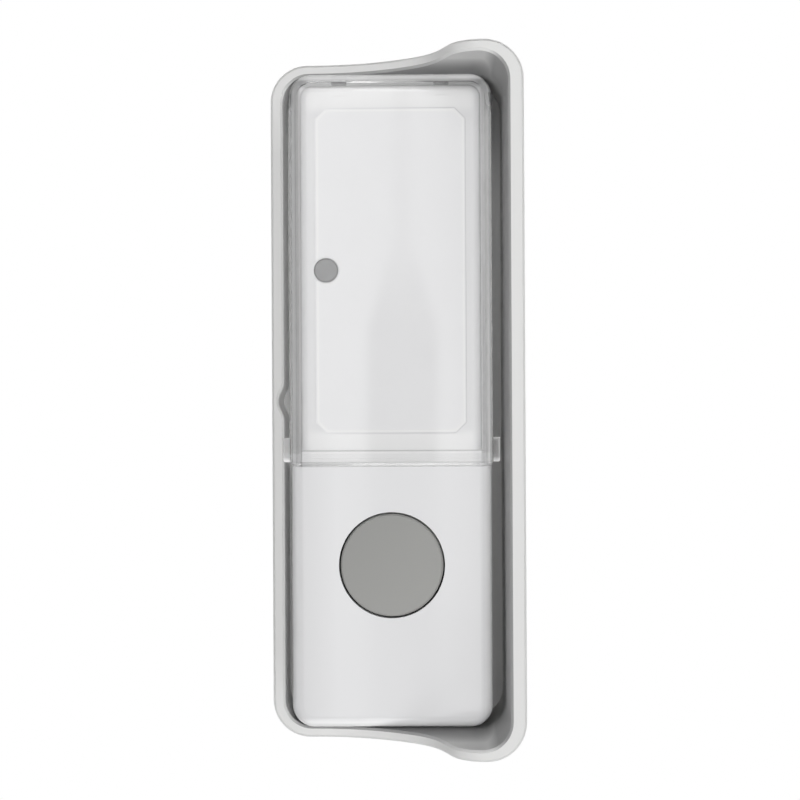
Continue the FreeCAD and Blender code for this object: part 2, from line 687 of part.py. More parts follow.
def make_front_casing():
    body = new_body("front_casing")
    outline = sketch_on(body, "casing_outline", "XZ_Plane", CASING_BACK)
    rounded_box(outline, "0 - casing_half", "casing_half", "0 - casing_reach", "casing_reach", "casing_corner")
    pad(body, outline, f"{CASING_FRONT} - {CASING_BACK}")
    front = value(CASING_FRONT)
    fillet(body, "front_round", edges_of(body, lambda e: at_depth(e, front)), "front_round")

    # the cover's seat: a ledge, the name deck that stands on it, and a shallow groove across the deck's end
    seat = sketch_on(body, "cover_seat", "XZ_Plane", LEDGE_FACE)
    box(seat, "0 - casing_half * 2", "casing_half * 2", SHOULDER, "casing_reach * 2")
    pocket(body, seat, CASING_FRONT)
    deck = sketch_on(body, "name_deck", "XZ_Plane", LEDGE_FACE)
    arched_box(deck, DECK_HALF, DECK_TOP, SHOULDER, "deck_corner")
    pad(body, deck, f"{DECK_FACE} - {LEDGE_FACE}")
    deck_face, shoulder = value(DECK_FACE), value(SHOULDER)
    rim = edges_of(body, lambda e: at_depth(e, deck_face) and middle(e).z > shoulder + 1e-3)
    fillet(body, "deck_round", rim, "deck_round")
    groove = sketch_on(body, "deck_groove", "XZ_Plane", GROOVE_FACE)
    box(groove, "0 - casing_half", "casing_half", SHOULDER, DECK_BOTTOM)
    pocket(body, groove, "deck_drop + groove_drop")

    # the hollow inside: one plan to below the ledge, then the deck's and the lower front's own rooms
    back = "casing_lift"
    hollow = sketch_on(body, "casing_hollow", "XZ_Plane", back)
    rounded_box(hollow, f"0 - {CASING_INSIDE}", CASING_INSIDE, f"0 - {REACH_INSIDE}", REACH_INSIDE, INSIDE_CORNER)
    pocket(body, hollow, f"{LEDGE_INSIDE} - {back}")
    lower = sketch_on(body, "lower_hollow", "XZ_Plane", back)
    low_top = f"{SHOULDER} - casing_wall"
    rounded_box(lower, f"0 - {CASING_INSIDE}", CASING_INSIDE, f"0 - {REACH_INSIDE}", low_top, INSIDE_CORNER)
    pocket(body, lower, f"{FRONT_INSIDE} - {back}")
    upper = sketch_on(body, "deck_hollow", "XZ_Plane", back)
    room = f"({DECK_HALF} - deck_wall)"
    rounded_box(
        upper,
        f"0 - {room}",
        room,
        f"{DECK_BOTTOM} + deck_wall",
        f"{DECK_TOP} - deck_wall",
        "deck_corner - deck_wall",
    )
    pocket(body, upper, f"{DECK_INSIDE} - {back}")
    under = sketch_on(body, "groove_hollow", "XZ_Plane", back)
    box(under, f"0 - {room}", room, SHOULDER, f"{DECK_BOTTOM} + deck_wall + deck_corner")
    pocket(body, under, f"{GROOVE_INSIDE} - {back}")

    add_casing_bosses(body)
    cut_casing_openings(body)
    return body


def add_casing_bosses(body):
    """Button collar, four screw bosses and the four ribs that the base plate's catches hold."""
    collar = sketch_on(body, "button_collar", "XZ_Plane", f"{FRONT_INSIDE} - collar_height")
    circle(collar, "0", BUTTON_Z, COLLAR_INNER)
    circle(collar, "0", BUTTON_Z, f"{COLLAR_INNER} + collar_wall")
    pad(body, collar, "collar_height + front_wall / 2")

    for name, place, ceiling in (("low", BOSS_LOW_Z, FRONT_INSIDE), ("high", "boss_high_z", DECK_INSIDE)):
        bosses = sketch_on(body, "bosses_" + name, "XZ_Plane", BOARD_FRONT)
        pilots = sketch_on(body, "pilots_" + name, "XZ_Plane", BOARD_FRONT)
        for side in ("", "0 - "):
            circle(bosses, f"{side}{BOSS_X}", place, "boss_radius")
            circle(pilots, f"{side}{BOSS_X}", place, "screw_radius + screw_fit")
        pad(body, bosses, f"{ceiling} - {BOARD_FRONT} + deck_wall / 2")
        pocket(body, pilots, f"{DECK_INSIDE} - {BOARD_FRONT}")

    rib_front = f"({BASE_FRONT} + catch_height - catch_nose_high - catch_gap)"
    ribs = sketch_on(body, "catch_ribs", "XZ_Plane", f"{rib_front} - rib_high")
    inner = f"({CASING_INSIDE} - rib_depth)"
    outer = f"({CASING_INSIDE} + casing_wall / 2)"
    for end in ("", "0 - "):
        low = f"{end}catch_place - catch_half"
        high = f"{end}catch_place + catch_half"
        box(ribs, inner, outer, low, high)
        box(ribs, f"0 - {outer}", f"0 - {inner}", low, high)
    pad(body, ribs, "rib_high")


def cut_casing_openings(body):
    """Button hole, lens hole, the cover's lip windows with a sink mark over each, and the pry slot."""
    button = sketch_on(body, "button_hole", "XZ_Plane", FRONT_INSIDE)
    circle(button, "0", BUTTON_Z, "button_radius + button_fit")
    pocket(body, button, "front_wall * 2")
    lens = sketch_on(body, "lens_hole", "XZ_Plane", DECK_INSIDE)
    circle(lens, LENS_X, "lens_z", "lens_radius + lens_fit")
    pocket(body, lens, "deck_wall * 2")

    sinks = sketch_on(body, "deck_sinks", "XZ_Plane", f"{DECK_FACE} - sink_depth")
    windows = sketch_on(body, "lip_windows", "XZ_Plane", LEDGE_FACE)
    window_half = "(lip_half + lip_gap)"
    for side in ("", "0 - "):
        centre = f"({side}sink_place_x)"
        low = f"{DECK_TOP} - sink_inset - sink_high / 2"
        high = f"{DECK_TOP} - sink_inset + sink_high / 2"
        box(sinks, f"{centre} - sink_half", f"{centre} + sink_half", low, high)
        inner = f"{HINGE_Z} - lip_reach + lip_gap"
        box(windows, f"{centre} - {window_half}", f"{centre} + {window_half}", inner, f"{DECK_TOP} + deck_gap")
    pocket(body, sinks, "deck_drop")
    pocket(body, windows, f"{LIP_BACK} + lip_thick + lip_gap - {LEDGE_FACE}")

    pry = sketch_on(body, "pry_slot", "XZ_Plane", CASING_BACK)
    box(pry, "0 - casing_half - casing_wall", f"0 - {CASING_INSIDE} + casing_wall / 2", "0 - pry_half", "pry_half")
    pocket(body, pry, "pry_high")


def make_name_cover():
    body = new_body("name_cover")
    outline = sketch_on(body, "cover_outline", "XZ_Plane", COVER_BACK)
    arched_box(outline, COVER_HALF, "casing_reach", "0 - cover_end", "casing_corner")
    pad(body, outline, f"{CASING_FRONT} - {COVER_BACK}")
    front = value(CASING_FRONT)
    low_end = -value("cover_end")

    def front_edge(edge, at_end):
        on_end = abs(middle(edge).z - low_end) < 1e-4
        return at_depth(edge, front) and on_end == at_end

    fillet(body, "cover_round", edges_of(body, lambda e: front_edge(e, False)), "cover_round")
    bevel(body, "cover_end_bevel", edges_of(body, lambda e: front_edge(e, True)), "cover_end_bevel")
    add_ears(body)
    inside = sketch_on(body, "cover_inside", "XZ_Plane", "0")
    arched_box(inside, COVER_INSIDE, COVER_TOP_INSIDE, "end_skirt - cover_end", "casing_corner - cover_wall")
    pocket(body, inside, f"{CASING_FRONT} - pane_thick")
    skirt = sketch_on(body, "end_skirt_back", "XZ_Plane", "0")
    box(skirt, f"0 - {COVER_INSIDE}", COVER_INSIDE, "0 - cover_end * 2", "0")
    pocket(body, skirt, SKIRT_BACK)

    # the skirt is shorter round the top, where it swings inwards as the cover opens
    trim = sketch_on(body, "top_trim", "YZ_Plane")
    shallow = f"top_skirt_drop - {CASING_FRONT}"
    deep = f"0 - {COVER_BACK}"
    polygon(
        trim,
        [
            (deep, f"{HINGE_Z} - lip_drop"),
            (shallow, f"{HINGE_Z} - cover_wall / 2"),
            (shallow, "casing_reach * 2"),
            ("0", "casing_reach * 2"),
            ("0", f"{HINGE_Z} - lip_drop"),
        ],
    )
    pocket(body, trim, "casing_half * 4", symmetric=True)

    # two lips that hook under the deck's top edge
    lips = sketch_on(body, "lips", "XZ_Plane", LIP_BACK)
    tabs = sketch_on(body, "lip_tabs", "XZ_Plane", LIP_BACK)
    for side in ("", "0 - "):
        centre = f"({side}sink_place_x)"
        outer = f"({COVER_TOP_INSIDE} + lip_tab)"
        box(lips, f"{centre} - lip_half", f"{centre} + lip_half", f"{COVER_TOP_INSIDE} - lip_reach", outer)
        box(tabs, f"{centre} - lip_half", f"{centre} + lip_half", COVER_TOP_INSIDE, outer)
    pad(body, tabs, "lip_drop - top_skirt_drop + cover_wall / 4")
    pad(body, lips, "lip_thick")
    return body


def ear_profile(sketch, face, back, low, high):
    """An ear seen from the side: a round sill at its low front edge and a bevel at the top one."""
    y0, y1, z0, z1 = (value(t) for t in (face, back, low, high))
    r, e = value("ear_sill_round"), value("ear_edge")
    spots = [(y1, z0), (y0 + r, z0), (y0, z0 + r), (y0, z1 - e), (y0 + e, z1), (y1, z1)]
    spots = [FreeCAD.Vector(*spot, 0) for spot in spots]
    for start, end in ((0, 1), (2, 3), (3, 4), (4, 5), (5, 0)):
        sketch.addGeometry(Part.LineSegment(spots[start], spots[end]))
    sill = Part.Circle(FreeCAD.Vector(y0 + r, z0 + r, 0), FreeCAD.Vector(0, 0, 1), r)
    sketch.addGeometry(Part.ArcOfCircle(sill, math.pi, 1.5 * math.pi))
    sketch.addConstraint(Sketcher.Constraint("Tangent", 0, 2, 5, 2))
    sketch.addConstraint(Sketcher.Constraint("Tangent", 5, 1, 1, 1))
    for pair in ((1, 2, 2, 1), (2, 2, 3, 1), (3, 2, 4, 1), (4, 2, 0, 1)):
        sketch.addConstraint(Sketcher.Constraint("Coincident", *pair))
    for line in (0, 3):
        sketch.addConstraint(Sketcher.Constraint("Horizontal", line))
    for line in (1, 4):
        sketch.addConstraint(Sketcher.Constraint("Vertical", line))
    rule(sketch, "ear_sill_round", "Radius", 5)
    place_point(sketch, 0, 1, back, low)
    place_point(sketch, 2, 1, face, f"{high} - ear_edge")
    place_point(sketch, 2, 2, f"{face} + ear_edge", high)


def add_ears(body):
    """An ear at each lower corner: one bar across, that the cover's inside later parts, hollow behind."""
    face, back = f"(ear_face_drop - {CASING_FRONT})", f"(ear_back_drop - {CASING_FRONT})"
    low = "(ear_lift - cover_end)"
    high = f"({low} + ear_tall)"
    tip = "(casing_half + ear_out)"
    bar = sketch_on(body, "ear_side", "YZ_Plane")
    ear_profile(bar, face, back, low, high)
    pad(body, bar, f"{tip} * 2", symmetric=True)
    face_y, tip_x = value(face), value(tip)
    tips = edges_of(body, lambda e: abs(abs(middle(e).x) - tip_x) < 1e-4 and abs(middle(e).y - face_y) < 1e-4)
    bevel(body, "ear_tips", tips, "ear_edge")
    hollows = sketch_on(body, "ear_hollows", "XZ_Plane", f"{CASING_FRONT} - ear_back_drop - ear_hollow")
    for left, right in ((COVER_HALF, f"{tip} - ear_wall"), (f"ear_wall - {tip}", f"0 - {COVER_HALF}")):
        box(hollows, left, right, f"{low} + ear_sill", f"{high} - ear_wall")
    pocket(body, hollows, "ear_hollow * 2")


def arched_box(sketch, half, high, low, radius):
    """The plan of the cover and of its deck: square at the lower end, with two round corners at the top."""
    x, z0, z1, r = value(half), value(low), value(high), value(radius)
    up = FreeCAD.Vector(0, 0, 1)
    corners = [(-x, z0), (x, z0), (x, z1 - r), (x - r, z1), (r - x, z1), (-x, z1 - r)]
    spots = [FreeCAD.Vector(*corner, 0) for corner in corners]
    for start, end in ((0, 1), (1, 2), (3, 4), (5, 0)):
        sketch.addGeometry(Part.LineSegment(spots[start], spots[end]))
    right_arc = Part.Circle(FreeCAD.Vector(x - r, z1 - r, 0), up, r)
    left_arc = Part.Circle(FreeCAD.Vector(r - x, z1 - r, 0), up, r)
    sketch.addGeometry(Part.ArcOfCircle(right_arc, 0, math.pi / 2))
    sketch.addGeometry(Part.ArcOfCircle(left_arc, math.pi / 2, math.pi))
    for pair in ((0, 2, 1, 1), (3, 2, 0, 1)):
        sketch.addConstraint(Sketcher.Constraint("Coincident", *pair))
    for pair in ((1, 2, 4, 1), (4, 2, 2, 1), (2, 2, 5, 1), (5, 2, 3, 1)):
        sketch.addConstraint(Sketcher.Constraint("Tangent", *pair))
    for line in (0, 2):
        sketch.addConstraint(Sketcher.Constraint("Horizontal", line))
    sketch.addConstraint(Sketcher.Constraint("Vertical", 1))
    sketch.addConstraint(Sketcher.Constraint("Vertical", 3))
    sketch.addConstraint(Sketcher.Constraint("Equal", 4, 5))
    rule(sketch, radius, "Radius", 4)
    rule(sketch, f"0 - {half}", "DistanceX", -1, 1, 0, 1)
    rule(sketch, half, "DistanceX", -1, 1, 0, 2)
    rule(sketch, low, "DistanceY", -1, 1, 0, 1)
    rule(sketch, high, "DistanceY", -1, 1, 2, 1)


def make_name_card():
    body = new_body("name_card")
    card = sketch_on(body, "card_outline", "XZ_Plane", DECK_FACE)
    polygon(
        card,
        [
            (f"card_cut - {CARD_HALF}", CARD_BOTTOM),
            (f"{CARD_HALF} - card_cut", CARD_BOTTOM),
            (CARD_HALF, f"{CARD_BOTTOM} + card_cut"),
            (CARD_HALF, f"{CARD_TOP} - card_cut"),
            (f"{CARD_HALF} - card_cut", CARD_TOP),
            (f"card_cut - {CARD_HALF}", CARD_TOP),
            (f"0 - {CARD_HALF}", f"{CARD_TOP} - card_cut"),
            (f"0 - {CARD_HALF}", f"{CARD_BOTTOM} + card_cut"),
        ],
    )
    pad(body, card, "card_thick")
    notch = sketch_on(body, "card_lens_hole", "XZ_Plane", DECK_FACE)
    circle(notch, LENS_X, "lens_z", "lens_radius + lens_card_gap")
    pocket(body, notch, "card_thick * 2")
    return body


def make_indicator_lens():
    body = new_body("indicator_lens")
    profile = sketch_on(body, "lens_profile", "XY_Plane")
    face = f"0 - {DECK_FACE} - lens_stand"
    polygon(
        profile,
        [
            ("0", face),
            ("lens_radius - lens_bevel", face),
            ("lens_radius", f"{face} + lens_bevel"),
            ("lens_radius", f"0 - {DECK_INSIDE}"),
            ("lens_radius + lens_flange_out", f"0 - {DECK_INSIDE}"),
            ("lens_radius + lens_flange_out", f"0 - {DECK_INSIDE} + lens_flange_thick"),
            ("0", f"0 - {DECK_INSIDE} + lens_flange_thick"),
        ],
    )
    turn(body, profile)
    stand_at(body, LENS_X, "lens_z")
    return body


def make_indicator_led():
    body = new_body("indicator_led")
    profile = sketch_on(body, "led_profile", "XY_Plane")
    top = f"0 - {DECK_INSIDE} + lens_flange_thick + led_gap"
    polygon(
        profile,
        [
            ("0", f"0 - {BOARD_FRONT}"),
            ("led_radius", f"0 - {BOARD_FRONT}"),
            ("led_radius", f"{top} + led_radius / 2"),
            ("led_radius / 2", top),
            ("0", top),
        ],
    )
    turn(body, profile)
    stand_at(body, LENS_X, "lens_z")
    return body


def make_push_button():
    body = new_body("push_button")
    profile = sketch_on(body, "button_profile", "XY_Plane")
    face = f"0 - {CASING_FRONT}"
    flange_face = f"0 - {FLANGE_FACE}"
    flange_back = f"flange_thick - {FLANGE_FACE}"
    ceiling = f"button_top_wall - {CASING_FRONT}"
    post_end = f"0 - {PLUNGER_TOP} - post_gap"
    polygon(
        profile,
        [
            ("0", face),
            ("button_radius - button_edge", face),
            ("button_radius", f"{face} + button_edge"),
            ("button_radius", flange_face),
            (FLANGE_RADIUS, flange_face),
            (FLANGE_RADIUS, flange_back),
            ("button_radius - button_side_wall", flange_back),
            ("button_radius - button_side_wall", ceiling),
            ("post_radius", ceiling),
            ("post_radius", post_end),
            ("0", post_end),
        ],
    )
    turn(body, profile)
    stand_at(body, "0", BUTTON_Z)
    return body


def make_button_seal():
    body = new_body("button_seal")
    ring = sketch_on(body, "seal_ring", "XZ_Plane", FLANGE_FACE)
    circle(ring, "0", BUTTON_Z, "button_radius + seal_inner_gap")
    circle(ring, "0", BUTTON_Z, "button_radius + seal_inner_gap + seal_wide")
    pad(body, ring, "seal_thick")
    return body


def make_circuit_board():
    body = new_body("circuit_board")
    board = sketch_on(body, "board_outline", "XZ_Plane", BOARD_BACK)
    rounded_box(board, f"0 - {BOARD_HALF}", BOARD_HALF, f"{BOSS_LOW_Z} - board_low_edge", BOARD_HIGH, "board_corner")
    for side in ("", "0 - "):
        for place in ("boss_high_z", BOSS_LOW_Z):
            circle(board, f"{side}{BOSS_X}", place, "screw_hole_radius")
    pad(body, board, "board_thick")
    return body


def make_board_screws():
    """Four screws, each a slotted head and a plain six-sided shank."""
    parts = []
    for i, side in enumerate(("", "0 - ")):
        for j, place in enumerate(("boss_high_z", BOSS_LOW_Z)):
            x = f"{side}{BOSS_X}"
            end = f"{BOARD_BACK} + screw_reach"
            head = pin(f"screw_head_{i}{j}", x, place, "screw_head_radius", f"{BOARD_BACK} - screw_head", BOARD_BACK)
            shank = pin(f"screw_shank_{i}{j}", x, place, "screw_radius", BOARD_BACK, end, sides=6)
            slot_low = f"({place}) - screw_slot_wide / 2"
            slot_high = f"({place}) + screw_slot_wide / 2"
            slot = block(
                f"screw_slot_{i}{j}",
                f"{x} - screw_radius",
                f"{x} + screw_radius",
                slot_low,
                slot_high,
                f"{BOARD_BACK} - screw_head * 2",
                f"{BOARD_BACK} - screw_head / 2",
            )
            whole = fused(f"screw_{i}{j}", [head, shank])
            cut = doc.addObject("Part::Cut", f"screw_cut_{i}{j}")
            cut.Base = whole
            cut.Tool = slot
            parts.append(cut)
    group = doc.addObject("Part::Compound", "board_screws")
    group.Links = parts
    return group


def make_switch():
    """The tact switch: moulded body with four feet, steel plate and plunger."""
    body = new_body("switch_body")
    base = sketch_on(body, "switch_base", "XZ_Plane", BOARD_FRONT)
    box(base, "0 - switch_half", "switch_half", f"{BUTTON_Z} - switch_half", f"{BUTTON_Z} + switch_half")
    pad(body, base, "switch_high")
    feet = sketch_on(body, "switch_feet", "XZ_Plane", BOARD_FRONT)
    for side in ("", "0 - "):
        for end in ("", "0 - "):
            inner, outer = f"{side}(switch_half - switch_foot)", f"{side}(switch_half + switch_foot)"
            left, right = (inner, outer) if side == "" else (outer, inner)
            centre = f"({end}switch_foot_place + {BUTTON_Z})"
            box(feet, left, right, f"{centre} - switch_foot_half", f"{centre} + switch_foot_half")
    pad(body, feet, "switch_foot_thick")
    bore = sketch_on(body, "switch_bore", "XZ_Plane", f"{SWITCH_TOP} - plunger_sunk - plunger_room")
    circle(bore, "0", BUTTON_Z, "plunger_radius + plunger_fit")
    pocket(body, bore, "switch_high")

    plate_body = new_body("switch_plate")
    plate = sketch_on(plate_body, "plate_outline", "XZ_Plane", f"{SWITCH_TOP} - switch_plate")
    box(plate, "0 - switch_half", "switch_half", f"{BUTTON_Z} - switch_half", f"{BUTTON_Z} + switch_half")
    circle(plate, "0", BUTTON_Z, "plunger_radius + plunger_fit")
    pad(plate_body, plate, "switch_plate")

    plunger = pin("switch_plunger", "0", BUTTON_Z, "plunger_radius", f"{SWITCH_TOP} - plunger_sunk", PLUNGER_TOP)
    return [body, plate_body, plunger]


def make_battery_holder():
    body = new_body("battery_holder")
    outer = "(cell_radius + holder_gap + holder_wall)"
    frame = sketch_on(body, "holder_frame", "XZ_Plane", f"{BOARD_BACK} - holder_high")
    rounded_box(frame, f"0 - {outer}", outer, f"cell_z - {outer}", f"cell_z + {outer}", "cell_radius / 2")
    pad(body, frame, "holder_high")
    well = sketch_on(body, "holder_well", "XZ_Plane", f"{BOARD_BACK} - holder_high * 2")
    circle(well, "0", "cell_z", "cell_radius + holder_gap")
    pocket(body, well, "holder_high * 2 - holder_floor")
    window = sketch_on(body, "leaf_window", "XZ_Plane", f"{BOARD_BACK} - holder_high")
    box(
        window,
        "0 - leaf_half - leaf_gap",
        "leaf_half + leaf_gap",
        "cell_z - leaf_reach - leaf_gap",
        "cell_z + leaf_half + leaf_gap",
    )
    pocket(body, window, "holder_high * 2")
    mouth = sketch_on(body, "holder_mouth", "XZ_Plane", f"{BOARD_BACK} - holder_high * 2")
    box(mouth, "0 - holder_slot_half", "holder_slot_half", f"cell_z - {outer} * 2", "cell_z - cell_radius + holder_gap")
    pocket(body, mouth, "holder_high * 2 - holder_floor")
    return body


def make_battery_cell():
    body = new_body("battery_cell")
    profile = sketch_on(body, "cell_profile", "XY_Plane")
    polygon(
        profile,
        [
            ("0", f"0 - {CELL_BACK}"),
            ("cell_radius - cell_round", f"0 - {CELL_BACK}"),
            ("cell_radius", f"0 - {CELL_BACK} - cell_round"),
            ("cell_radius", f"0 - {CELL_FRONT} + cell_shoulder"),
            ("cell_radius - cell_cap_inset", f"0 - {CELL_FRONT} + cell_shoulder"),
            ("cell_radius - cell_cap_inset", f"0 - {CELL_FRONT}"),
            ("0", f"0 - {CELL_FRONT}"),
        ],
    )
    turn(body, profile)
    stand_at(body, "0", "cell_z")
    return body


def make_contacts():
    """The strap over the cell's can and the leaf under its cap."""
    strap = new_body("positive_contact")
    side = sketch_on(strap, "strap_side", "YZ_Plane")
    edge = "(cell_z + cell_radius + holder_gap + holder_wall + contact_gap)"
    over = f"0 - {CELL_BACK}"
    foot = f"0 - {BOARD_BACK}"
    polygon(
        side,
        [
            (over, f"{edge} - contact_reach"),
            (f"{over} + contact_thick", f"{edge} - contact_reach"),
            (f"{over} + contact_thick", f"{edge} + contact_thick"),
            (f"{foot} + contact_thick", f"{edge} + contact_thick"),
            (f"{foot} + contact_thick", f"{edge} + contact_foot"),
            (foot, f"{edge} + contact_foot"),
            (foot, edge),
            (over, edge),
        ],
    )
    pad(strap, side, "contact_half * 2", symmetric=True)

    leaf_body = new_body("negative_contact")
    leaf = sketch_on(leaf_body, "leaf_outline", "XZ_Plane", CELL_FRONT)
    box(leaf, "0 - leaf_half", "leaf_half", "cell_z - leaf_reach", "cell_z + leaf_half")
    pad(leaf_body, leaf, "holder_floor")
    return [strap, leaf_body]


def make_chip(label, x, z, half_x, half_z):
    """A moulded chip with two rows of feet."""
    body = new_body(label)
    case = sketch_on(body, label + "_case", "XZ_Plane", f"{BOARD_FRONT} + chip_foot_thick / 2")
    box(case, f"{x} - {half_x}", f"{x} + {half_x}", f"{z} - {half_z}", f"{z} + {half_z}")
    pad(body, case, "chip_high")
    feet = sketch_on(body, label + "_feet", "XZ_Plane", BOARD_FRONT)
    rows = round(2 * value(half_z) / value("chip_foot_step"))
    for row in range(rows):
        centre = f"({z} + chip_foot_step * {row - (rows - 1) / 2})"
        out = f"({half_x} + chip_foot_out)"
        box(feet, f"{x} - {out}", f"{x} + {out}", f"{centre} - chip_foot_half", f"{centre} + chip_foot_half")
    pad(body, feet, "chip_foot_thick")
    return body


def make_crystal():
    body = new_body("crystal")
    flange = sketch_on(body, "crystal_base", "XZ_Plane", BOARD_FRONT)
    rim_x = "(crystal_half_x + crystal_flange)"
    rim_z = "(crystal_half_z + crystal_flange)"
    rounded_box(
        flange,
        f"crystal_x - {rim_x}",
        f"crystal_x + {rim_x}",
        f"crystal_z - {rim_z}",
        f"crystal_z + {rim_z}",
        "crystal_round + crystal_flange",
    )
    pad(body, flange, "crystal_flange")
    can = sketch_on(body, "crystal_can", "XZ_Plane", BOARD_FRONT)
    rounded_box(
        can,
        "crystal_x - crystal_half_x",
        "crystal_x + crystal_half_x",
        "crystal_z - crystal_half_z",
        "crystal_z + crystal_half_z",
        "crystal_round",
    )
    pad(body, can, "crystal_high")
    return body


def make_chip_parts():
    """Resistors and capacitors in two short rows."""
    parts = []
    for row in range(2):
        for column in range(3):
            x = f"(passive_step * {column + 0.5})"
            z = f"(passive_z + passive_step * {row})"
            parts.append(
                block(
                    f"passive_{row}{column}",
                    f"{x} - passive_half_x",
                    f"{x} + passive_half_x",
                    f"{z} - passive_half_z",
                    f"{z} + passive_half_z",
                    BOARD_FRONT,
                    f"{BOARD_FRONT} + passive_high",
                )
            )
    group = doc.addObject("Part::Compound", "chip_parts")
    group.Links = parts
    return group


def make_antenna_loop():
    """A bent strip that stands on the board's top end."""
    body = new_body("antenna_loop")
    side = sketch_on(body, "antenna_side", "XY_Plane", f"{BOARD_HIGH} - antenna_inset - antenna_wide / 2")
    inner = "(antenna_half - antenna_thick)"
    foot = f"0 - {BOARD_FRONT}"
    top = f"(0 - {BOARD_FRONT} - antenna_high)"
    polygon(
        side,
        [
            ("0 - antenna_half", foot),
            (f"0 - {inner}", foot),
            (f"0 - {inner}", f"{top} + antenna_thick"),
            (inner, f"{top} + antenna_thick"),
            (inner, foot),
            ("antenna_half", foot),
            ("antenna_half", top),
            ("0 - antenna_half", top),
        ],
    )
    pad(body, side, "antenna_wide")
    roof = value(f"{BOARD_FRONT} + antenna_high")

    def bend_edge(edge, below):
        box_of = edge.BoundBox
        upright = box_of.XLength < 1e-4 and box_of.YLength < 1e-4
        return upright and abs(roof - below + box_of.YMin) < 1e-4

    thick = value("antenna_thick")
    fillet(body, "outer_bends", edges_of(body, lambda e: bend_edge(e, 0)), "antenna_bend")
    fillet(body, "inner_bends", edges_of(body, lambda e: bend_edge(e, thick)), "antenna_bend - antenna_thick")
    return body


def build_all():
    pieces = [
        make_wall_tray(),
        make_mounting_pads(),
        make_base_plate(),
        make_front_casing(),
        make_name_cover(),
        make_name_card(),
        make_indicator_lens(),
        make_indicator_led(),
        make_push_button(),
        make_button_seal(),
        make_circuit_board(),
        make_board_screws(),
        *make_switch(),
        make_battery_holder(),
        make_battery_cell(),
        *make_contacts(),
        make_chip("transmitter_chip", "small_chip_x", "small_chip_z", "small_chip_half_x", "small_chip_half_z"),
        make_chip("encoder_chip", "large_chip_x", "large_chip_z", "large_chip_half_x", "large_chip_half_z"),
        make_crystal(),
        make_chip_parts(),
        make_antenna_loop(),
    ]
    doc.recompute()
    return pieces


def write_all(pieces):
    """Checks every object, then writes one file for each piece."""
    for obj in doc.Objects:
        if any(word in ("Invalid", "Error") for word in obj.State):
            raise RuntimeError(f"{obj.Name} is {obj.State}")
    for piece in pieces:
        if piece.Shape.isNull() or not piece.Shape.isValid() or not piece.Shape.Solids:
            raise RuntimeError(f"{piece.Label} has no valid solid")
    os.makedirs("parts", exist_ok=True)
    for piece in pieces:
        piece.Shape.exportStep(f"parts/{piece.Label}.step")
        print(piece.Label, len(piece.Shape.Solids), round(piece.Shape.Volume, 2))


write_all(build_all())
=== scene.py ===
import math

import bmesh
import bpy
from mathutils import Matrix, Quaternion, Vector

# A slim bell push in its wall tray. Metres, +Z up.
# The wall is the plane y = 0 and the visitor stands at -y.

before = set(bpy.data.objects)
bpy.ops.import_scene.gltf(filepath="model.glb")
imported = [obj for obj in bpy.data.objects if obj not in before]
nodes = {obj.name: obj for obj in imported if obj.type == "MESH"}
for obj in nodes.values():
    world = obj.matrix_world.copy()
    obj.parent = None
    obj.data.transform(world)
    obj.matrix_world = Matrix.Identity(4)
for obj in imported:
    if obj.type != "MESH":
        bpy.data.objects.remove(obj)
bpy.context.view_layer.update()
scene = bpy.context.scene
scene.view_settings.view_transform = "Standard"
print("frame loaded:", len(nodes), "nodes")


# shader arithmetic
reliefHeight = 0.001        # metres that a height of 1 stands for
halfSeam = 0.001        # half the stretch over which the left side changes to the right side
noiseSpan = (0.3, 0.7)        # most values of a noise lie in here


class Wire:
    def __init__(self, tree, socket=None):
        self.tree, self.socket = tree, socket

    def node(self, kind, settings=None, sockets=None, out=0):
        made = self.tree.nodes.new("ShaderNode" + kind)
        for name, value in (settings or {}).items():
            setattr(made, name, value)
        for name, value in (sockets or {}).items():
            if isinstance(value, Wire):
                self.tree.links.new(value.socket, made.inputs[name])
            else:
                made.inputs[name].default_value = value
        return Wire(self.tree, made.outputs[out] if made.outputs else None)

    def maths(self, operation, *values):
        return self.node("Math", {"operation": operation}, dict(enumerate(values)))

    def __add__(self, other):
        return self.maths("ADD", self, other)

    def __sub__(self, other):
        return self.maths("SUBTRACT", self, other)

    def __rsub__(self, other):
        return self.maths("SUBTRACT", other, self)

    def __mul__(self, other):
        return self.maths("MULTIPLY", self, other)

    __radd__ = __add__
    __rmul__ = __mul__

    def size(self):
        return self.maths("ABSOLUTE", self)

    def least(self, other):
        return self.maths("MINIMUM", self, other)

    def most(self, other):
        return self.maths("MAXIMUM", self, other)

    def part(self, axis):
        return self.node("SeparateXYZ", None, {"Vector": self}, "XYZ".index(axis))

    def noise(self, place, scale, detail=2.0, rough=0.5):
        made = {"Vector": place, "Scale": scale, "Detail": detail, "Roughness": rough}
        return self.node("TexNoise", None, made)

    def between(self, low, high, start=0.0, end=1.0):
        # low at the start, high at the end, and held beyond both
        made = {"Value": self, "From Min": start, "From Max": end, "To Min": low, "To Max": high}
        return self.node("MapRange", None, made)

    def rise(self, start, end):
        return self.between(0.0, 1.0, start, end)

    def fall(self, start, end):
        return self.between(1.0, 0.0, start, end)

    def near(self, middle, reach):
        # 1 at the middle, falling to 0 at the reach on both sides
        return (self - middle).size().fall(0.0, reach)

    def sided(self, left, right):
        # self is a place across the part; one value for its left half and one for its right half
        return self.between(left, right, -halfSeam, halfSeam)

    def blend(self, first, second):
        # self is the share of the second colour
        return self.node("Mix", {"data_type": "RGBA"}, {"Factor": self, "A": first, "B": second}, 2)

    def relief(self, height):
        made = {"Height": height, "Strength": 1.0, "Distance": reliefHeight}
        return self.node("Bump", None, made)


